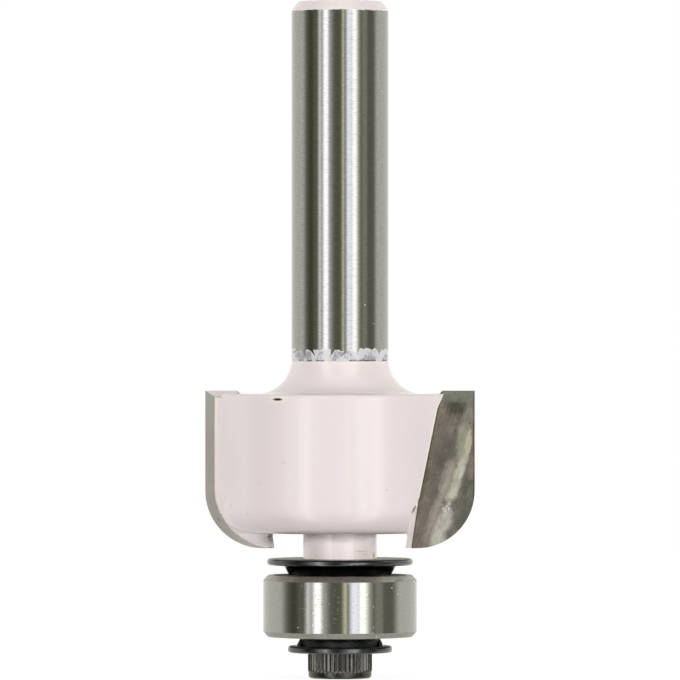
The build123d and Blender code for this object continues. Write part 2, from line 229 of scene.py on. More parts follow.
def makeFloor():
    material = bpy.data.materials.new("paleFloor")
    material.use_nodes = True
    tree = material.node_tree
    tree.nodes.clear()
    place = addNode(tree, "ShaderNodeTexCoord").outputs["Object"]
    reach = vectorMath(tree, "LENGTH", place)["Value"]
    rays = addNode(tree, "ShaderNodeLightPath").outputs
    matt = addNode(tree, "ShaderNodeBsdfDiffuse", {"Color": room["floorTone"]}).outputs[0]
    white = glow(tree, "ShaderNodeEmission", room["white"], room["whiteLift"])
    clear = addNode(tree, "ShaderNodeBsdfTransparent").outputs[0]
    bright = times(tree, rays["Is Camera Ray"], 1 - room["shadowShare"])
    ground = mixShaders(tree, bright, matt, white)
    away = times(tree, fade(tree, reach, *room["floorFade"]), rays["Is Camera Ray"])
    hidden = calc(tree, "MAXIMUM", away, rays["Is Glossy Ray"])
    addNode(tree, "ShaderNodeOutputMaterial", {0: mixShaders(tree, hidden, ground, clear)})
    half = room["floorSize"] / 2
    corners = [(-half, -half, 0), (half, -half, 0), (half, half, 0), (-half, half, 0)]
    mesh = bpy.data.meshes.new("floor")
    mesh.from_pydata(corners, [], [(0, 1, 2, 3)])
    floor = bpy.data.objects.new("floor", mesh)
    floor.data.materials.append(material)
    bpy.context.collection.objects.link(floor)


def makeLamps():
    for name, lamp in lamps.items():
        data = bpy.data.lights.new(name, "AREA")
        data.shape, data.energy = "RECTANGLE", lamp["power"]
        data.size, data.size_y = lamp["size"]
        light = bpy.data.objects.new(name, data)
        bpy.context.collection.objects.link(light)
        light.location = lamp["at"]
        light.rotation_mode = "QUATERNION"
        way = Vector(room["lampAim"]) - light.location
        light.rotation_quaternion = way.to_track_quat("-Z", "Y")
        light.visible_glossy = False  # the mirrored room holds its own soft boxes


makeCamera()
makeWorld()
makeFloor()
makeLamps()
bpy.context.scene.view_settings.view_transform = "Standard"
print("camera and room ready")


# Shared effects, as node groups

def startGroup(name, inputs, outputs):
    tree = bpy.data.node_groups.new(name, "ShaderNodeTree")
    for label, kind, value in inputs:
        socket = tree.interface.new_socket(label, in_out="INPUT", socket_type=f"NodeSocket{kind}")
        if value is not None:
            socket.default_value = value
    for label in outputs:
        tree.interface.new_socket(label, in_out="OUTPUT", socket_type="NodeSocketFloat")
    return tree, tree.nodes.new("NodeGroupInput").outputs, tree.nodes.new("NodeGroupOutput").inputs


def makeSpecks():
    # small round spots of uneven size, scattered over a surface
    inputs = [
        ("Place", "Vector", None),
        ("Scale", "Float", 1.0),
        ("Share", "Float", 0.1),
        ("Size", "Float", 0.2),
    ]
    leastSize, fullPart = 0.35, 0.6
    tree, given, result = startGroup("specks", inputs, ["Mask"])
    links = {"Vector": given["Place"], "Scale": given["Scale"]}
    cells = addNode(tree, "ShaderNodeTexVoronoi", links).outputs
    lot = addNode(tree, "ShaderNodeSeparateColor", {0: cells["Color"]}).outputs
    chosen = below(tree, lot["Red"], given["Share"])
    width = times(tree, given["Size"], plus(tree, lot["Green"], leastSize))
    dot = fade(tree, cells["Distance"], times(tree, width, fullPart), width, 1.0, 0.0)
    tree.links.new(times(tree, dot, chosen), result["Mask"])
    return tree


def makeGrindLines():
    # fine lines that a grinding wheel leaves, close together along the axis of the largest stretch
    inputs = [("Place", "Vector", None), ("Stretch", "Vector", (1, 1, 30)), ("Scale", "Float", 1.0)]
    tree, given, result = startGroup("grindLines", inputs, ["Lines", "Cloud"])
    pulled = vectorMath(tree, "MULTIPLY", given["Place"], given["Stretch"])[0]
    fine = noise(tree, pulled, given["Scale"], 4.0, 0.7)
    cloud = noise(tree, given["Place"], given["Scale"], 3.0)
    tree.links.new(fine["Fac"], result["Lines"])
    tree.links.new(cloud["Fac"], result["Cloud"])
    return tree


def makeMottle():
    # two sizes of soft patches, pushed apart by a contrast
    inputs = [("Place", "Vector", None), ("Scale", "Float", 1.0), ("Contrast", "Float", 2.0)]
    finer, fineShare = 5.0, 0.35
    tree, given, result = startGroup("mottle", inputs, ["Mask"])
    large = noise(tree, given["Place"], given["Scale"], 2.0)
    small = noise(tree, given["Place"], times(tree, given["Scale"], finer), 3.0)
    both = between(tree, fineShare, large["Fac"], small["Fac"])
    spread = times(tree, minus(tree, both, 0.5), given["Contrast"])
    tree.links.new(calc(tree, "ADD", spread, 0.5, clamp=True), result["Mask"])
    return tree


def makeSpot():
    # one oval mark: full up to 1 - Edge of its size, gone at 1 + Edge
    inputs = [
        ("Place", "Vector", None),
        ("At", "Vector", (0, 0, 0)),
        ("Turn", "Vector", (0, 0, 0)),
        ("Size", "Vector", (1, 1, 1)),
        ("Edge", "Float", 0.3),
    ]
    tree, given, result = startGroup("spot", inputs, ["Mask"])
    links = {"Vector": given["Place"], "Location": given["At"]}
    links.update({"Rotation": given["Turn"], "Scale": given["Size"]})
    local = addNode(tree, "ShaderNodeMapping", links, vector_type="TEXTURE").outputs[0]
    away = vectorMath(tree, "LENGTH", local)["Value"]
    full, gone = minus(tree, 1.0, given["Edge"]), plus(tree, 1.0, given["Edge"])
    tree.links.new(fade(tree, away, full, gone, 1.0, 0.0), result["Mask"])
    return tree


specks, grindLines, mottle, spot = makeSpecks(), makeGrindLines(), makeMottle(), makeSpot()


def useGroup(tree, group, place, values):
    node = tree.nodes.new("ShaderNodeGroup")
    node.node_tree = group
    plug(tree, node.inputs["Place"], place)
    for name, value in values.items():
        plug(tree, node.inputs[name], value)
    return node.outputs


def mark(at, size, tone, share, edge=0.5, lean=0):
    values = {"At": at, "Size": size, "Edge": edge, "Turn": (0, radians(lean), 0)}
    return values, share, (*tone, 1)


def layStainsAndPaintedLight(tree, place, colour, marks):
    # lays marks over a colour, each with its own tone: stains, and painted shade, light and reflection
    for values, share, tone in marks:
        mask = useGroup(tree, spot, place, values)["Mask"]
        colour = blend(tree, times(tree, mask, share), colour, tone)
    return colour


def wash(tree, colour, tones, measures, washes):
    # lays tones over a colour, each where all its soft limits on the measures hold
    for tone, share, *limits in washes:
        parts = [shape(tree, measures[name], *numbers) for name, shape, *numbers in limits]
        colour = blend(tree, times(tree, share, *parts), colour, tones[tone])
    return colour


def startMaterial(name):
    # a material with one Principled shader and the place on the object in millimetres
    material = bpy.data.materials.new(name)
    material.use_nodes = True
    tree = material.node_tree
    tree.nodes.clear()
    shader = tree.nodes.new("ShaderNodeBsdfPrincipled")
    addNode(tree, "ShaderNodeOutputMaterial", {0: shader.outputs[0]})
    metres = addNode(tree, "ShaderNodeTexCoord").outputs["Object"]
    toMm = {0: metres, "Scale": 1 / mm}
    place = addNode(tree, "ShaderNodeVectorMath", toMm, operation="SCALE").outputs[0]
    return material, tree, shader, place, splitAxes(tree, place)


def setShader(tree, shader, links):
    for name, value in links.items():
        plug(tree, shader.inputs[name], value)


def radiusOf(tree, axes):
    return vectorMath(tree, "LENGTH", joinAxes(tree, axes["X"], axes["Y"], 0.0))["Value"]


def surfaceNormal(tree):
    return addNode(tree, "ShaderNodeNewGeometry").outputs["Normal"]


def bump(tree, height, strength, depth):
    links = {"Height": height, "Strength": strength, "Distance": depth * mm}
    return addNode(tree, "ShaderNodeBump", links).outputs["Normal"]


def pastLine(tree, value, height, foot, lean):
    # how far value lies outside a leaning line through foot, which is (radius, height)
    rise = times(tree, minus(tree, height, foot[1]), lean)
    return minus(tree, minus(tree, value, foot[0]), rise)


print("shared effects ready")


# Cutter body: glossy paint, with the shank bare. Lengths are millimetres. A soft step is
# (from, to) or (from, to, value before, value after), and a soft band (from, to, softness).

body = {
    "paint": (0.80, 0.707, 0.71, 1),
    "paintWarm": (0.805, 0.732, 0.687, 1),
    # cream of thin paint at edges, also laid as a painted highlight along the gullet's edge
    "paintEdge": (0.86, 0.82, 0.71, 1),
    "paintShade": (0.42, 0.33, 0.32, 1),
    # painted light for the foot of the wings
    "paintFoot": (0.95, 0.88, 0.86, 1),
    "paintRoughness": 0.03,
    "paintGloss": 0.38,
    "warmPatches": {"Scale": 0.10, "Contrast": 1.6},
    "warmShare": 0.6,
    "grit": {"Scale": 0.55, "Share": 0.10, "Size": 0.05},
    "gritShare": 0.35,
    "steel": (0.36, 0.357, 0.348, 1),
    "steelDark": (0.06, 0.058, 0.048, 1),
    "steelRoughness": (0.3, 0.7, 0.05, 0.11),
    "grind": {"Stretch": (1, 1, 9), "Scale": 2.2},
    "grindShade": (0.42, 0.68, 0.0, 0.28),
    "dust": {"Scale": 1.5, "Share": 0.12, "Size": 0.075},
    "bare": (26.12, 55.00),  # the shank is bare between these heights
    "borderSoft": 0.03,
    "borderWave": 0.10,
    "thinPaint": (-0.26, -0.02, 0.06),  # measured from the lower border
    "thinShare": 0.3,
    "flake": (0.66, 0.64, 0.655, 1),
    "flakeRim": (0.90, 0.88, 0.84, 1),
    "flakeDark": (0.34, 0.33, 0.37, 1),
    "flakeTop": 26.90,
    "flakeRise": (0.20, 0.30),  # by how much the large and the small patches lift that top
    "flakeShift": (0.9, 0.5, 0.4),
    "flakeScale": 0.48,
    "flakeCracks": (0.0, 0.075, 0.60, 0.0),
    "flakeEnd": (-0.05, 0.03, 1.0, 0.0),
    "flakeTones": (0.20, 0.62),
    "flakeRimBand": (-0.10, 0.1, 0.03),
    "flakeRimShare": 0.6,
    "lineWidth": 0.14,
    "lineGaps": (0.36, 0.52, 0.85, 0.0),
    "patches": {"Scale": 0.45, "Contrast": 3.0},
    "finePatches": {"Scale": 1.1, "Contrast": 3.0},
    "peel": {"Scale": 0.35, "Contrast": 1.0},
    "peelHeight": 0.05,
    "flakeHeight": 0.5,
    "grindHeight": 0.05,
    "bump": (0.5, 0.03),
    "dullEnd": {"At": (-5.75, -2.0, 11.3), "Size": (0.45, 2.6, 0.8), "Edge": 0.2},
    "dullRoughness": 0.7,  # of the paint on that end of the wing's foot
    "gullet": (6.357, 14.52),  # where the wall of the gullet starts, as radius and height
    "gulletLean": 0.2067,
    "gulletBend": (22.32, 0.239),  # above this height the wall leans this much more
}
bodyWashes = [  # tone, share, and soft limits: measure, shape, numbers
    # cream at the edge beside each tip and low on the neck, and a painted highlight on the rounded edge
    # along the gullet
    (
        "paintEdge",
        1.0,
        ("depth", band, 1.95, 2.3, 0.12),
        ("radius", fade, 9.2, 9.9),
        ("height", fade, 17.0, 22.0, 0.35, 1.0),
    ),
    (
        "paintEdge",
        0.6,
        ("fromWall", band, -0.13, 0.5, 0.05),
        ("quarter", below, 0.0),
        ("radius", fade, 9.7, 9.92),
    ),
    ("paintEdge", 0.6, ("height", band, 9.5, 9.98, 0.08)),
    # painted shade on what faces down, a painted shadow round the top of the neck under the body, and
    # painted light on the foot of the wings
    ("paintShade", 1.0, ("upright", fade, -0.75, -0.1, 0.2, 0.0), ("height", fade, 11.95, 12.05)),
    ("paintFoot", 1.0, ("upright", fade, -0.6, -0.3, 1.0, 0.0), ("height", fade, 11.9, 12.05, 0.7, 0.0)),
    ("paintShade", 1.0, ("height", band, 11.84, 12.1, 0.06), ("radius", fade, 3.3, 3.6, 0.5, 0.0)),
    (
        "paintShade",
        0.55,
        ("upright", fade, -0.97, -0.80, 1.0, 0.0),
        ("height", band, 11.98, 12.12, 0.04),
        ("radius", fade, 4.2, 7.4),
    ),
]
bodyMarks = [  # spots in the paint, some of them painted shade and light: place, size, tone
    mark((-5.08, -8.61, 23.05), (0.70, 0.70, 0.30), (0.90, 0.86, 0.74), share=0.6, edge=0.6),
    mark((-5.08, -8.61, 23.05), (0.42, 0.42, 0.105), (0.02, 0.014, 0.01), share=1.0, edge=0.45),
    mark((-7.62, -6.50, 13.68), (0.18, 0.18, 0.06), (0.25, 0.20, 0.18), share=0.4),
    mark((-4.60, -8.88, 17.90), (0.09, 0.09, 0.07), (0.30, 0.24, 0.22), share=0.3),
    mark((-6.62, -7.50, 16.20), (0.12, 0.12, 0.08), (0.40, 0.34, 0.32), share=0.2),
    mark((-7.60, -6.45, 14.05), (0.10, 0.10, 0.30), (0.45, 0.38, 0.36), share=0.15, edge=0.6),
    mark((-8.90, -4.45, 14.30), (0.12, 0.12, 0.16), (0.45, 0.34, 0.34), share=0.25, edge=0.6),
    # painted shadow in the slit between the gullet's floor and the tip's inner edge
    mark((6.02, -7.95, 14.10), (0.08, 0.18, 0.42), (0.10, 0.06, 0.035), share=0.85, edge=0.4, lean=30),
    mark((6.40, -7.66, 14.72), (0.10, 0.16, 0.30), (0.38, 0.30, 0.14), share=0.8, lean=14),
    # painted shadow at the top of the wing's inner end, under the body
    mark((-5.80, -2.20, 11.80), (0.75, 2.6, 0.50), (0.40, 0.31, 0.30), share=0.7, edge=0.6),
    # painted shade over the back of the wing on the left
    mark((-9.40, -4.20, 17.50), (1.3, 2.6, 7.0), (0.60, 0.51, 0.51), share=0.25, edge=0.7),
    # painted light on the front of the neck
    mark((0.30, -3.20, 11.00), (1.9, 1.7, 2.0), (0.96, 0.87, 0.85), share=0.8, edge=0.6),
    mark((5.85, 0.00, 12.20), (0.50, 0.9, 1.7), (0.88, 0.84, 0.76), share=0.5),
    mark((2.79, -1.23, 10.15), (0.14, 0.20, 0.26), (0.36, 0.25, 0.10), share=0.8),
    mark((1.65, -2.60, 10.53), (0.55, 0.5, 0.045), (0.40, 0.28, 0.20), share=0.45, edge=0.6, lean=4),
    mark((2.10, -2.30, 10.25), (0.32, 0.5, 0.035), (0.45, 0.32, 0.22), share=0.35, edge=0.6, lean=-5),
]


def fromGulletWall(tree, wide, height):
    # how far a point lies outside the wall, which leans out more above its bend
    past = pastLine(tree, wide, height, body["gullet"], body["gulletLean"])
    bendHeight, bendLean = body["gulletBend"]
    overBend = calc(tree, "MAXIMUM", minus(tree, height, bendHeight), 0.0)
    return minus(tree, past, times(tree, overBend, bendLean))


def paintBody():
    material, tree, shader, place, axes = startMaterial("paintedCutter")
    height = axes["Z"]
    patches = useGroup(tree, mottle, place, body["patches"])["Mask"]
    finePatches = useGroup(tree, mottle, place, body["finePatches"])["Mask"]
    measures = {
        "height": height,
        "radius": radiusOf(tree, axes),
        "depth": calc(tree, "ABSOLUTE", axes["Y"]),
        "upright": splitAxes(tree, surfaceNormal(tree))["Z"],
        "fromWall": fromGulletWall(tree, calc(tree, "ABSOLUTE", axes["X"]), height),
        "quarter": times(tree, axes["X"], axes["Y"]),  # below 0 in the quarter before each tip
    }

    # paint: warmer in patches, washed with cream edges, a painted highlight, painted shade and painted
    # light, gritty, and spotted with marks, some of them painted shade and light
    warm = useGroup(tree, mottle, place, body["warmPatches"])["Mask"]
    paint = blend(tree, times(tree, warm, body["warmShare"]), body["paint"], body["paintWarm"])
    paint = wash(tree, paint, body, measures, bodyWashes)
    grit = useGroup(tree, specks, place, body["grit"])["Mask"]
    paint = blend(tree, times(tree, grit, body["gritShare"]), paint, body["paintShade"])
    paint = layStainsAndPaintedLight(tree, place, paint, bodyMarks)

    # bare steel, ground round the shank
    lines = useGroup(tree, grindLines, place, body["grind"])
    grindShade = fade(tree, lines["Lines"], *body["grindShade"])
    steel = blend(tree, grindShade, body["steel"], body["steelDark"])

    # ragged flakes of paint that cling to the steel above the shoulder
    shifted = vectorMath(tree, "ADD", place, body["flakeShift"])[0]
    chips = {"Vector": shifted, "Scale": body["flakeScale"], "Randomness": 1.0}
    cells = addNode(tree, "ShaderNodeTexVoronoi", chips, feature="DISTANCE_TO_EDGE").outputs
    rise, fineRise = body["flakeRise"]
    lift = plus(tree, times(tree, patches, rise), times(tree, finePatches, fineRise))
    above = minus(tree, height, plus(tree, lift, body["flakeTop"]))
    above = plus(tree, above, fade(tree, cells["Distance"], *body["flakeCracks"]))
    flakeMask = fade(tree, above, *body["flakeEnd"])
    flakeTones = fade(tree, finePatches, *body["flakeTones"])
    flake = blend(tree, flakeTones, body["flakeDark"], body["flake"])
    flakeRim = times(tree, band(tree, above, *body["flakeRimBand"]), body["flakeRimShare"])
    flake = blend(tree, flakeRim, flake, body["flakeRim"])
    bare = blend(tree, flakeMask, steel, flake)

    # under the flakes runs a broken dark line
    low, high = body["bare"]
    line = band(tree, height, low, low + body["lineWidth"], body["borderSoft"])
    line = times(tree, line, fade(tree, finePatches, *body["lineGaps"]))
    bare = blend(tree, line, bare, body["steelDark"])

    # the paint's border waves, and the paint is thin beside it
    wave = times(tree, minus(tree, finePatches, 0.5), body["borderWave"])
    level = plus(tree, height, wave)
    bareMask = band(tree, level, low, high, body["borderSoft"])
    thinFrom, thinTo, thinSoft = body["thinPaint"]
    thin = band(tree, level, low + thinFrom, low + thinTo, thinSoft)
    paint = blend(tree, times(tree, thin, body["thinShare"]), paint, body["paintEdge"])
    metalMask = times(tree, bareMask, minus(tree, 1.0, flakeMask))
    dust = times(tree, useGroup(tree, specks, place, body["dust"])["Mask"], metalMask)
    metalMask = minus(tree, metalMask, dust)
    bare = blend(tree, dust, bare, body["flakeRim"])

    steelRough = fade(tree, lines["Cloud"], *body["steelRoughness"])
    peel = useGroup(tree, mottle, place, body["peel"])["Mask"]
    relief = plus(tree, times(tree, peel, body["peelHeight"]), times(tree, flakeMask, body["flakeHeight"]))
    relief = plus(tree, relief, times(tree, lines["Lines"], metalMask, body["grindHeight"]))
    dullEnd = useGroup(tree, spot, place, body["dullEnd"])["Mask"]
    paintRough = between(tree, dullEnd, body["paintRoughness"], body["dullRoughness"])
    links = {
        "Base Color": blend(tree, bareMask, paint, bare),
        "Metallic": metalMask,
        "Roughness": between(tree, metalMask, paintRough, steelRough),
        "Specular IOR Level": body["paintGloss"],
        "Normal": bump(tree, relief, *body["bump"]),
    }
    setShader(tree, shader, links)
    return material


# Hard tips: ground faces, stained by heat and resin, with a painted reflection streak across the cutting
# face

tips = {
    "relief": (0.29, 0.28, 0.245, 1),
    "reliefBrown": (0.265, 0.233, 0.205, 1),
    "reliefGreen": (0.29, 0.298, 0.255, 1),
    "face": (0.205, 0.182, 0.158, 1),
    "dark": (0.055, 0.05, 0.036, 1),
    "seam": (0.085, 0.062, 0.034, 1),
    "light": (0.70, 0.70, 0.52, 1),
    "paint": (0.80, 0.705, 0.70, 1),
    # darker paint for the tip's end next to the axis: painted shade under the body
    "paintEndShade": (0.36, 0.28, 0.27, 1),
    "paintTop": (0.45, 0.6),  # how far up a painted top faces
    "paintInner": (-0.6, -0.45, 1.0, 0.0),  # how far in a painted end faces
    "paintBack": (0.5, 0.6, 1.0, 0.0),  # and how far out the painted back may face
    "backDepth": (0.3, 0.5),
    "backUpright": (-0.35, -0.2),
    "metal": 0.45,
    "faceRoughness": (0.3, 0.7, 0.25, 0.38),
    "reliefRoughness": 0.33,
    "faceDepth": (0.01, 0.05, 1.0, 0.0),  # the cutting face lies in the plane of the axis
    "drift": {"scale": 1.3, "detail": 4.0},  # what makes the edges of the stains and of the painted reflection streak ragged
    "driftReach": (0.7, 0, 1.2),
    "scratches": {"Stretch": (8, 1, 0.16), "Scale": 1.5},
    "scratchTurn": -17,
    "blotches": {"Scale": 0.9, "Contrast": 3.0},
    "worms": {"scale": 2.6, "detail": 2.0},
    "wormWidth": (0.006, 0.028, 1.0, 0.0),
    "lowWorms": {"At": (9.0, 0, 14.25), "Size": (0.75, 9, 0.60), "Edge": 0.3},
    "highWorms": {"At": (10.7, 0, 20.6), "Size": (0.30, 9, 0.55), "Edge": 0.3},
    "gullet": (6.44, 14.52),  # the gullet's wall covers the face up to here, as radius and height
    "gulletLean": 0.2092,
    "wallLine": (0.03, 0.20, 0.9, 0.0),
    "wallFrom": (14.3, 14.7),
    "inner": (5.90, 10.71),  # foot of the tip's inner edge
    "innerLean": 0.154,
    "innerLine": (0.01, 0.10, 0.8, 0.0),
    "reliefLines": {"Stretch": (3, 3, 0.2), "Scale": 1.6},
    "reliefClouds": {"Scale": 0.25, "Contrast": 3.0},
    "dots": {"Scale": 1.0, "Share": 0.14, "Size": 0.22},
    "dotShare": 0.5,
    "scratchHeight": 0.5,
    "bump": (0.4, 0.02),
}
faceWashes = [  # tone, share, and soft limits: measure, shape, numbers
    ("light", 1.0, ("scratch", fade, 0.50, 0.72, 0.0, 0.10)),
    ("dark", 1.0, ("scratch", fade, 0.30, 0.50, 0.08, 0.0)),
    ("dark", 1.0, ("blotch", fade, 0.15, 0.50, 0.22, 0.0)),
    ("light", 1.0, ("blotch", fade, 0.55, 0.90, 0.0, 0.12)),
    ("dark", 0.85, ("pits", asIs)),
    ("seam", 1.0, ("seam", asIs)),
    ("dark", 1.0, ("wide", fade, 10.93, 11.08, 0.0, 0.7)),
]
reliefWashes = [
    ("reliefGreen", 1.0, ("height", fade, 19.5, 22.5, 0.0, 0.8)),
    ("dark", 1.0, ("lines", fade, 0.40, 0.65, 0.07, 0.0)),
]


def faceMark(radius, height, wide, tall, tone, **settings):
    depth = 9  # reaches through the tip
    return mark((radius, 0, height), (wide, depth, tall), tone, **settings)


faceMarks = [  # stains on the cutting face, and light marks that make a painted reflection streak: radius, height, width, height of the mark, tone
    faceMark(9.72, 23.25, 1.8, 0.60, (0.23, 0.25, 0.2), share=0.8, edge=0.4),
    faceMark(8.24, 20.30, 0.35, 2.4, (0.24, 0.2, 0.16), share=0.6, lean=12),
    faceMark(8.49, 17.16, 0.75, 2.4, (0.13, 0.112, 0.112), share=0.7, lean=12),
    faceMark(9.06, 20.90, 0.65, 1.0, (0.20, 0.17, 0.14), share=0.6, lean=12),
    faceMark(9.60, 22.30, 0.75, 0.55, (0.066, 0.066, 0.048), share=0.85, edge=0.6),
    # the light marks leaning 17 to 22 degrees up the middle of the face make a painted reflection streak
    faceMark(8.90, 16.60, 0.36, 1.3, (0.52, 0.47, 0.41), share=0.75, edge=0.9, lean=17),
    faceMark(10.14, 19.60, 0.50, 1.5, (0.4, 0.41, 0.32), share=0.9, edge=0.4, lean=9),
    faceMark(10.60, 19.40, 0.26, 1.4, (0.69, 0.63, 0.47), share=0.85, edge=0.4, lean=6),
    faceMark(9.81, 16.83, 0.40, 1.5, (0.72, 0.73, 0.62), share=0.9, lean=17),
    faceMark(9.27, 15.27, 0.40, 0.95, (0.7, 0.69, 0.57), share=0.9, lean=22),
    faceMark(8.49, 12.79, 0.60, 1.1, (0.8, 0.79, 0.72), share=0.75, lean=22),
    faceMark(7.99, 11.40, 0.60, 0.8, (0.78, 0.76, 0.72), share=0.65, lean=22),
    faceMark(7.70, 13.10, 0.38, 1.5, (0.5, 0.45, 0.43), share=0.65, lean=17),
    faceMark(8.77, 14.00, 0.36, 0.30, (0.95, 0.95, 0.83), share=0.95, edge=0.6, lean=22),
    faceMark(10.70, 15.35, 0.65, 1.7, (0.14, 0.14, 0.12), share=0.85, lean=9),
    faceMark(10.05, 13.20, 0.60, 0.95, (0.14, 0.14, 0.12), share=0.75, lean=30),
    faceMark(10.86, 17.33, 0.24, 0.9, (0.31, 0.24, 0.21), share=0.8, lean=4),
    faceMark(7.00, 16.70, 0.22, 2.0, (0.125, 0.105, 0.05), share=0.75, lean=12),
    faceMark(6.72, 12.60, 0.50, 1.9, (0.23, 0.19, 0.17), share=0.8, lean=9),
    faceMark(10.60, 21.70, 0.42, 1.1, (0.32, 0.32, 0.26), share=0.85, lean=4),
    faceMark(7.07, 11.55, 0.35, 0.7, (0.32, 0.28, 0.26), share=0.8, edge=0.6, lean=10),
    faceMark(8.60, 15.40, 0.34, 0.9, (0.46, 0.425, 0.375), share=0.75, edge=0.6, lean=20),
    faceMark(8.06, 14.20, 0.34, 0.6, (0.44, 0.41, 0.36), share=0.7, edge=0.6, lean=22),
    faceMark(7.52, 18.00, 0.35, 1.3, (0.13, 0.11, 0.09), share=0.6, edge=0.7, lean=12),
    faceMark(9.50, 16.25, 0.22, 0.45, (0.42, 0.40, 0.31), share=0.5, edge=0.8, lean=17),
]


def paintedPart(tree, axes, depth):
    # the paint covers the top of each tip, its end next to the axis and its back
    normal = surfaceNormal(tree)
    upright = splitAxes(tree, normal)["Z"]
    outward = vectorMath(tree, "NORMALIZE", joinAxes(tree, axes["X"], axes["Y"], 0.0))[0]
    lean = vectorMath(tree, "DOT_PRODUCT", normal, outward)["Value"]
    top = fade(tree, upright, *tips["paintTop"])
    inner = fade(tree, lean, *tips["paintInner"])
    back = times(tree, fade(tree, lean, *tips["paintBack"]), fade(tree, depth, *tips["backDepth"]))
    back = times(tree, back, fade(tree, upright, *tips["backUpright"]))
    painted = calc(tree, "MAXIMUM", calc(tree, "MAXIMUM", top, inner), back)
    return painted, inner


def paintTips():
    material, tree, shader, place, axes = startMaterial("groundTips")
    wide, depth = calc(tree, "ABSOLUTE", axes["X"]), calc(tree, "ABSOLUTE", axes["Y"])
    height = axes["Z"]
    onFace = fade(tree, depth, *tips["faceDepth"])

    # both tips carry one pattern, because it is drawn by distance from the axis
    flat = joinAxes(tree, wide, 0.0, height)
    drift = vectorMath(tree, "SUBTRACT", noise(tree, flat, **tips["drift"])["Color"], (0.5, 0.5, 0.5))[0]
    drift = vectorMath(tree, "MULTIPLY", drift, tips["driftReach"])[0]
    ragged = vectorMath(tree, "ADD", flat, drift)[0]
    face = layStainsAndPaintedLight(tree, ragged, tips["face"], faceMarks)
    links = {"Vector": flat, "Rotation": (0, radians(tips["scratchTurn"]), 0)}
    turned = addNode(tree, "ShaderNodeMapping", links).outputs[0]
    scratch = useGroup(tree, grindLines, turned, tips["scratches"])["Lines"]

    # worm-like pits near the lower corner and high on the edge
    worms = minus(tree, noise(tree, flat, **tips["worms"])["Fac"], 0.5)
    ridge = fade(tree, calc(tree, "ABSOLUTE", worms), *tips["wormWidth"])
    zones = [useGroup(tree, spot, flat, tips[name])["Mask"] for name in ("lowWorms", "highWorms")]
    pits = times(tree, ridge, calc(tree, "MAXIMUM", *zones))

    # dark seams along the gullet's wall and the tip's inner edge
    fromWall = pastLine(tree, wide, height, tips["gullet"], tips["gulletLean"])
    fromInner = pastLine(tree, wide, height, tips["inner"], tips["innerLean"])
    wallLine = fade(tree, fromWall, *tips["wallLine"])
    wallLine = times(tree, wallLine, fade(tree, height, *tips["wallFrom"]))
    innerLine = fade(tree, fromInner, *tips["innerLine"])
    measures = {
        "scratch": scratch,
        "blotch": useGroup(tree, mottle, flat, tips["blotches"])["Mask"],
        "pits": pits,
        "seam": calc(tree, "MAXIMUM", wallLine, innerLine),
        "wide": wide,
    }
    face = wash(tree, face, tips, measures, faceWashes)

    # relief faces, seen from the side and from behind
    cloud = useGroup(tree, mottle, place, tips["reliefClouds"])["Mask"]
    lines = useGroup(tree, grindLines, place, tips["reliefLines"])["Lines"]
    side = blend(tree, cloud, tips["reliefBrown"], tips["relief"])
    side = wash(tree, side, tips, {"height": height, "lines": lines}, reliefWashes)
    dots = useGroup(tree, specks, place, tips["dots"])["Mask"]
    side = blend(tree, times(tree, dots, tips["dotShare"]), side, tips["dark"])

    painted, inner = paintedPart(tree, axes, depth)
    # the end next to the axis takes a darker tone: painted shade under the body
    paint = blend(tree, inner, tips["paint"], tips["paintEndShade"])
    rough = fade(tree, scratch, *tips["faceRoughness"])
    relief = minus(tree, times(tree, scratch, tips["scratchHeight"]), pits)
    links = {
        "Base Color": blend(tree, painted, blend(tree, onFace, side, face), paint),
        "Metallic": times(tree, minus(tree, 1.0, painted), tips["metal"]),
        "Roughness": between(tree, onFace, tips["reliefRoughness"], rough),
        "Normal": bump(tree, times(tree, relief, onFace), *tips["bump"]),
    }
    setShader(tree, shader, links)
    return material


# Bearing: polished rim, ground bevels, and pressed steel inside

bearing = {
    "steel": (0.37, 0.365, 0.35, 1),
    "steelDark": (0.06, 0.055, 0.042, 1),
    "bevel": (0.335, 0.325, 0.295, 1),
    # a lighter tone for the upper bevel: painted light
    "litUpperBevel": (0.47, 0.455, 0.42, 1),
    "bevelHeight": 0.45,
    "bevelSoft": 0.015,
    "bevelRoughness": 0.42,
    "bevelShade": (0.35, 0.65, 0.0, 0.2),
    "rimRadius": (6.15, 6.25),  # from here out a surface belongs to the rim
    "rimRoughness": 0.065,
    "rimLines": {"Stretch": (1, 1, 8), "Scale": 2.4},
    "rimShade": (0.45, 0.70, 0.0, 0.22),
    "pits": {"Scale": 4.4, "Share": 0.34, "Size": 0.35},
    "pitClouds": (0.42, 0.56),
    "lineHeight": 0.05,
    "pitHeight": 0.42,
    "bump": (0.5, 0.02),
    "dust": (0.90, 0.89, 0.84, 1),
    "dustSpecks": {"Scale": 1.7, "Share": 0.24, "Size": 0.09},
    "pressed": (0.36, 0.355, 0.34, 1),
    "pressedLines": {"Stretch": (3, 3, 1), "Scale": 1.4},
    "pressedShade": (0.35, 0.7, 0.0, 0.4),
    "pressedClouds": (0.3, 0.7),
    "cageRoughness": (0.25, 0.38),
    "plateRoughness": (0.27, 0.40),
    "wireRoughness": (0.23, 0.36),
    "pressedBump": (0.25, 0.01),
    "wire": (0.28, 0.28, 0.27, 1),
    "ball": (0.52, 0.51, 0.49, 1),
    "ballHaze": {"Scale": 2.0, "Contrast": 1.5},
    "ballHazeShare": 0.25,
    "ballRoughness": (0.2, 0.8, 0.05, 0.11),
}


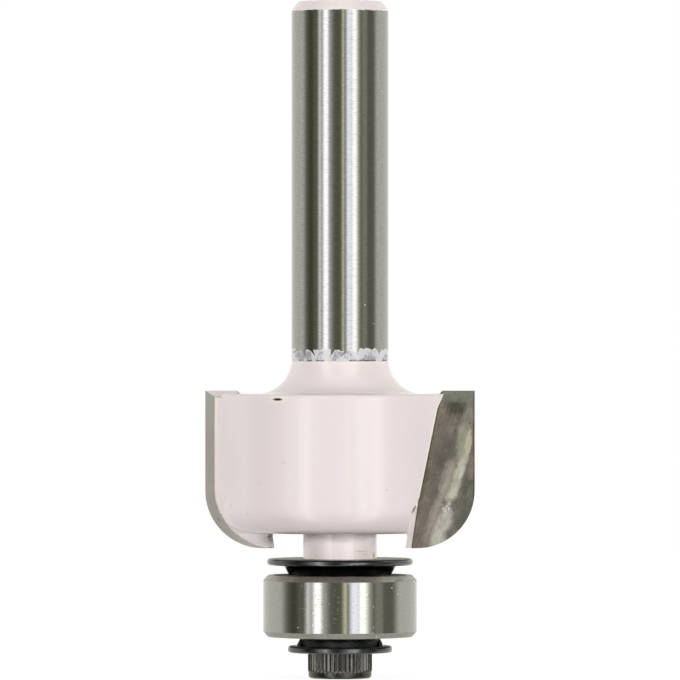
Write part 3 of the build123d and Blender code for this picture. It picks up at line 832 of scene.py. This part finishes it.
def paintRings():
    material, tree, shader, place, axes = startMaterial("bearingSteel")
    low, high = [corner[2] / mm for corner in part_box("outer_ring")]
    edge = bearing["bevelHeight"]
    straight = band(tree, axes["Z"], low + edge, high - edge, bearing["bevelSoft"])
    rim = times(tree, straight, fade(tree, radiusOf(tree, axes), *bearing["rimRadius"]))
    lines = useGroup(tree, grindLines, place, bearing["rimLines"])
    rimShade = fade(tree, lines["Lines"], *bearing["rimShade"])
    polished = blend(tree, rimShade, bearing["steel"], bearing["steelDark"])
    # the upper bevel gets a lighter tone: painted light
    upper = fade(tree, axes["Z"], (low + high) / 2, high)
    bevel = blend(tree, upper, bearing["bevel"], bearing["litUpperBevel"])
    bevelShade = fade(tree, lines["Cloud"], *bearing["bevelShade"])
    bevel = blend(tree, bevelShade, bevel, bearing["steelDark"])
    dust = useGroup(tree, specks, place, bearing["dustSpecks"])["Mask"]
    pits = useGroup(tree, specks, place, bearing["pits"])["Mask"]
    pits = times(tree, pits, fade(tree, lines["Cloud"], *bearing["pitClouds"]))
    lineRelief = times(tree, lines["Lines"], bearing["lineHeight"])
    relief = plus(tree, lineRelief, times(tree, pits, bearing["pitHeight"]))
    links = {
        "Base Color": blend(tree, dust, blend(tree, rim, bevel, polished), bearing["dust"]),
        "Metallic": minus(tree, 1.0, dust),
        "Roughness": between(tree, rim, bearing["bevelRoughness"], bearing["rimRoughness"]),
        "Normal": bump(tree, relief, *bearing["bump"]),
    }
    setShader(tree, shader, links)
    return material


def paintPressed(name, tone, smooth, rough):
    material, tree, shader, place, axes = startMaterial(name)
    lines = useGroup(tree, grindLines, place, bearing["pressedLines"])
    shade = fade(tree, lines["Lines"], *bearing["pressedShade"])
    links = {
        "Base Color": blend(tree, shade, tone, bearing["steelDark"]),
        "Metallic": 1.0,
        "Roughness": fade(tree, lines["Cloud"], *bearing["pressedClouds"], smooth, rough),
        "Normal": bump(tree, lines["Lines"], *bearing["pressedBump"]),
    }
    setShader(tree, shader, links)
    return material


def paintBalls():
    material, tree, shader, place, axes = startMaterial("ballSteel")
    haze = useGroup(tree, mottle, place, bearing["ballHaze"])["Mask"]
    share = times(tree, haze, bearing["ballHazeShare"])
    links = {
        "Base Color": blend(tree, share, bearing["ball"], bearing["steelDark"]),
        "Metallic": 1.0,
        "Roughness": fade(tree, haze, *bearing["ballRoughness"]),
    }
    setShader(tree, shader, links)
    return material


# Dust shields: blackened steel, dusty and a little patchy, with painted shade on faces that look up

shields = {
    "black": (0.105, 0.110, 0.115, 1),
    "dark": (0.035, 0.036, 0.035, 1),
    "dust": (0.30, 0.30, 0.29, 1),
    "patches": {"Scale": 0.8, "Contrast": 2.4},
    "patchShare": 0.6,
    "dustSpecks": {"Scale": 1.3, "Share": 0.12, "Size": 0.10},
    "dustShare": 0.6,
    # faces that look up are darkened: painted shade
    "shadedTop": (0.75, 0.95),
    "shadedTopShare": 0.6,
    "shadedTopRoughness": 0.35,
    "roughness": (0.2, 0.8, 0.13, 0.25),
    "bump": (0.15, 0.02),
}


def paintShields():
    material, tree, shader, place, axes = startMaterial("blackShields")
    patches = useGroup(tree, mottle, place, shields["patches"])["Mask"]
    dust = useGroup(tree, specks, place, shields["dustSpecks"])["Mask"]
    shadedTop = fade(tree, splitAxes(tree, surfaceNormal(tree))["Z"], *shields["shadedTop"])
    patchShare = times(tree, patches, shields["patchShare"])
    colour = blend(tree, patchShare, shields["black"], shields["dark"])
    colour = blend(tree, times(tree, dust, shields["dustShare"]), colour, shields["dust"])
    # faces that look up are darkened: painted shade
    colour = blend(tree, times(tree, shadedTop, shields["shadedTopShare"]), colour, shields["dark"])
    rough = fade(tree, patches, *shields["roughness"])
    links = {
        "Base Color": colour,
        "Metallic": 1.0,
        "Roughness": between(tree, shadedTop, rough, shields["shadedTopRoughness"]),
        "Normal": bump(tree, patches, *shields["bump"]),
    }
    setShader(tree, shader, links)
    return material


# Bearing screw: blackened steel, with a knurled head, a hexagon socket and a fine thread

screw = {
    "headRadius": 2.65,
    "headHeight": 3.0,
    "ribs": 48,
    "ribSteps": 6,
    "ribDepth": 0.12,
    "ribPower": 0.7,  # below 1 the valleys are wider than the crests
    "ribFrom": 0.60,
    "ribStart": [(-0.12, 0.0), (-0.02, 0.4), (0.07, 0.85), (0.16, 1.0)],  # rise, share of depth
    "ribEnd": [(-0.25, 1.0), (0.0, 0.8)],
    "bandRadius": 2.60,
    "cornerRadius": 0.25,
    "cornerSteps": 4,
    "socketWidth": 2.5,
    "socketDepth": 1.5,
    "socketPoint": 0.45,  # the drilled point goes this much deeper
    "socketPointShare": 0.02,
    "socketBevel": 0.12,
    "socketBevelWidth": 0.192,
    "threadRadius": 1.5,
    "threadDepth": 0.30,
    "threadProfile": [(0.0, 0.0), (0.42, 1.0), (0.58, 1.0), (1.0, 0.0)],  # share of pitch, rise
    "threadCrest": 0.98,
    "pitch": 0.5,
    "turnSteps": 28,
    "length": 8.0,
    "threadEnd": 0.1,
    "coreShare": 0.99,
    "coreSink": 0.05,  # how far the core starts inside the head
    "pointSize": 0.2,
    "sharpFrom": 35,
    "black": (0.125, 0.121, 0.115, 1),
    "dark": (0.06, 0.056, 0.05, 1),
    # lighter crests of the knurl: worn in patches and partly a painted highlight
    "crest": (0.23, 0.225, 0.215, 1),
    "foot": (0.05, 0.043, 0.034, 1),
    "patches": {"Scale": 1.0, "Contrast": 2.6},
    "crestFrom": (2.575, 2.64),
    "crestWearAndHighlight": (0.2, 0.7, 0.3, 1.0),
    "crestShare": 0.85,
    "footFade": (0.42, 0.56, 0.75, 0.0),
    "roughness": (0.2, 0.8, 0.24, 0.38),
    "bump": (0.2, 0.02),
}


def paintScrew():
    material, tree, shader, place, axes = startMaterial("blackScrew")
    patches = useGroup(tree, mottle, place, screw["patches"])["Mask"]
    # lighter on the knurl's crests, worn in patches and partly a painted highlight
    crest = fade(tree, radiusOf(tree, axes), *screw["crestFrom"])
    crest = times(tree, crest, fade(tree, patches, *screw["crestWearAndHighlight"]))
    colour = blend(tree, patches, screw["black"], screw["dark"])
    colour = blend(tree, times(tree, crest, screw["crestShare"]), colour, screw["crest"])
    colour = blend(tree, fade(tree, axes["Z"], *screw["footFade"]), colour, screw["foot"])
    links = {
        "Base Color": colour,
        "Metallic": 1.0,
        "Roughness": fade(tree, patches, *screw["roughness"]),
        "Normal": bump(tree, patches, *screw["bump"]),
    }
    setShader(tree, shader, links)
    return material


def addCorner(mesh, radius, angle, height):
    return mesh.verts.new((radius * cos(angle) * mm, radius * sin(angle) * mm, height * mm))


def ringOf(mesh, count, radiusAt, height):
    angles = [2 * pi * index / count for index in range(count)]
    return [addCorner(mesh, radiusAt(index, angle), angle, height) for index, angle in enumerate(angles)]


def roundRing(mesh, count, radius, height):
    return ringOf(mesh, count, lambda index, angle: radius, height)


def joinRings(mesh, rings):
    for lower, upper in zip(rings, rings[1:]):
        count = len(lower)
        for index in range(count):
            after = (index + 1) % count
            mesh.faces.new((lower[index], lower[after], upper[after], upper[index]))


def hexagonRadius(angle, width):
    turn = (angle + pi / 6) % (pi / 3) - pi / 6
    return width / 2 / cos(turn)


def ribRadius(share):
    # the knurl's outline, where share says how much of its depth is reached
    steps, plain = screw["ribSteps"], screw["bandRadius"]

    def radiusAt(index, angle):
        wave = 0.5 - 0.5 * cos(2 * pi * (index % steps) / steps)
        valley = screw["ribDepth"] * share * wave ** screw["ribPower"]
        return plain + (screw["headRadius"] - plain) * share - valley
    return radiusAt


def makeScrewHead(mesh):
    count = screw["ribs"] * screw["ribSteps"]
    top, corner = screw["headHeight"], screw["cornerRadius"]
    socket, depth, bevel = screw["socketWidth"], screw["socketDepth"], screw["socketBevel"]
    mouth = socket / 2 + screw["socketBevelWidth"]
    centre = lambda index, angle: hexagonRadius(angle, socket) * screw["socketPointShare"]
    wall = lambda index, angle: hexagonRadius(angle, socket)
    rim = lambda index, angle: max(hexagonRadius(angle, socket), mouth)
    rings = [
        ringOf(mesh, count, centre, depth + screw["socketPoint"]),
        ringOf(mesh, count, wall, depth),
        ringOf(mesh, count, wall, bevel),
        ringOf(mesh, count, rim, 0),
    ]
    for step in range(screw["cornerSteps"] + 1):
        turn = pi / 2 * step / screw["cornerSteps"]
        radius = screw["bandRadius"] - corner + corner * sin(turn)
        rings.append(roundRing(mesh, count, radius, corner - corner * cos(turn)))
    for rise, share in screw["ribStart"]:
        rings.append(ringOf(mesh, count, ribRadius(share), screw["ribFrom"] + rise))
    for rise, share in screw["ribEnd"]:
        rings.append(ringOf(mesh, count, ribRadius(share), top + rise))
    rings.append(roundRing(mesh, count, screw["threadRadius"] - screw["threadDepth"], top))
    joinRings(mesh, rings[::-1])
    mesh.faces.new(rings[0])


def makeThread(mesh):
    # a coil of V-shaped ridges round a core, ending in a flat point
    steps, pitch, length = screw["turnSteps"], screw["pitch"], screw["length"]
    root = screw["threadRadius"] - screw["threadDepth"]
    start, end = screw["headHeight"], screw["headHeight"] + length
    turns = int(length / pitch) - 1
    stretch = (length - screw["threadEnd"]) / ((turns + 1) * pitch)
    rows = []
    for step in range(turns * steps + 1):
        angle = 2 * pi * step / steps
        ease = min(1, step / steps, (turns * steps - step) / steps)
        row = []
        for along, rise in screw["threadProfile"]:
            radius = root + screw["threadDepth"] * rise * ease * screw["threadCrest"]
            row.append(addCorner(mesh, radius, angle, start + pitch * (step / steps + along) * stretch))
        rows.append(row)
    for first, second in zip(rows, rows[1:]):
        for index in range(len(first) - 1):
            mesh.faces.new((first[index], second[index], second[index + 1], first[index + 1]))
    core, point = root * screw["coreShare"], screw["pointSize"]
    rings = [
        roundRing(mesh, steps, core, start - screw["coreSink"]),
        roundRing(mesh, steps, core, end - point),
        roundRing(mesh, steps, core - point, end),
    ]
    joinRings(mesh, rings)
    mesh.faces.new(rings[-1])
    mesh.faces.new(rings[0][::-1])


def makePiece(name, build, material, bodyName):
    mesh = bmesh.new()
    build(mesh)
    bmesh.ops.recalc_face_normals(mesh, faces=mesh.faces)
    data = bpy.data.meshes.new(name)
    mesh.to_mesh(data)
    mesh.free()
    piece = bpy.data.objects.new(name, data)
    bpy.context.collection.objects.link(piece)
    data.materials.append(material)
    data.shade_smooth()
    data.set_sharp_from_angle(angle=radians(screw["sharpFrom"]))
    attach(piece, bodyName)
    return piece


screwFinish = paintScrew()
screwHead = makePiece("screwHead", makeScrewHead, screwFinish, "cutter")
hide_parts("bearing_screw")
makePiece("screwThread", makeThread, screwFinish, "cutter")
print("screw ready")


# The other pieces keep their solids and get a finish each

cageSteel = paintPressed("cageSteel", bearing["pressed"], *bearing["cageRoughness"])
plateSteel = paintPressed("plateSteel", bearing["pressed"], *bearing["plateRoughness"])
wireSteel = paintPressed("wireSteel", bearing["wire"], *bearing["wireRoughness"])
finishes = [
    (paintBody(), ["cutter_body"]),
    (paintTips(), ["carbide_tip_1", "carbide_tip_2"]),
    (paintRings(), ["outer_ring", "inner_ring"]),
    (paintShields(), ["upper_dust_shield", "lower_dust_shield"]),
    (cageSteel, ["cage_upper", "cage_lower", "cage_rivets"]),
    (plateSteel, ["bearing_shield_upper", "bearing_shield_lower"]),
    (wireSteel, ["snap_wire_upper", "snap_wire_lower"]),
    (paintBalls(), [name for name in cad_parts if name.startswith("ball_")]),
]
for material, names in finishes:
    for name in names:
        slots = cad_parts[name].data.materials
        slots.clear()
        slots.append(material)
print("finishes ready")


print("scene finished")
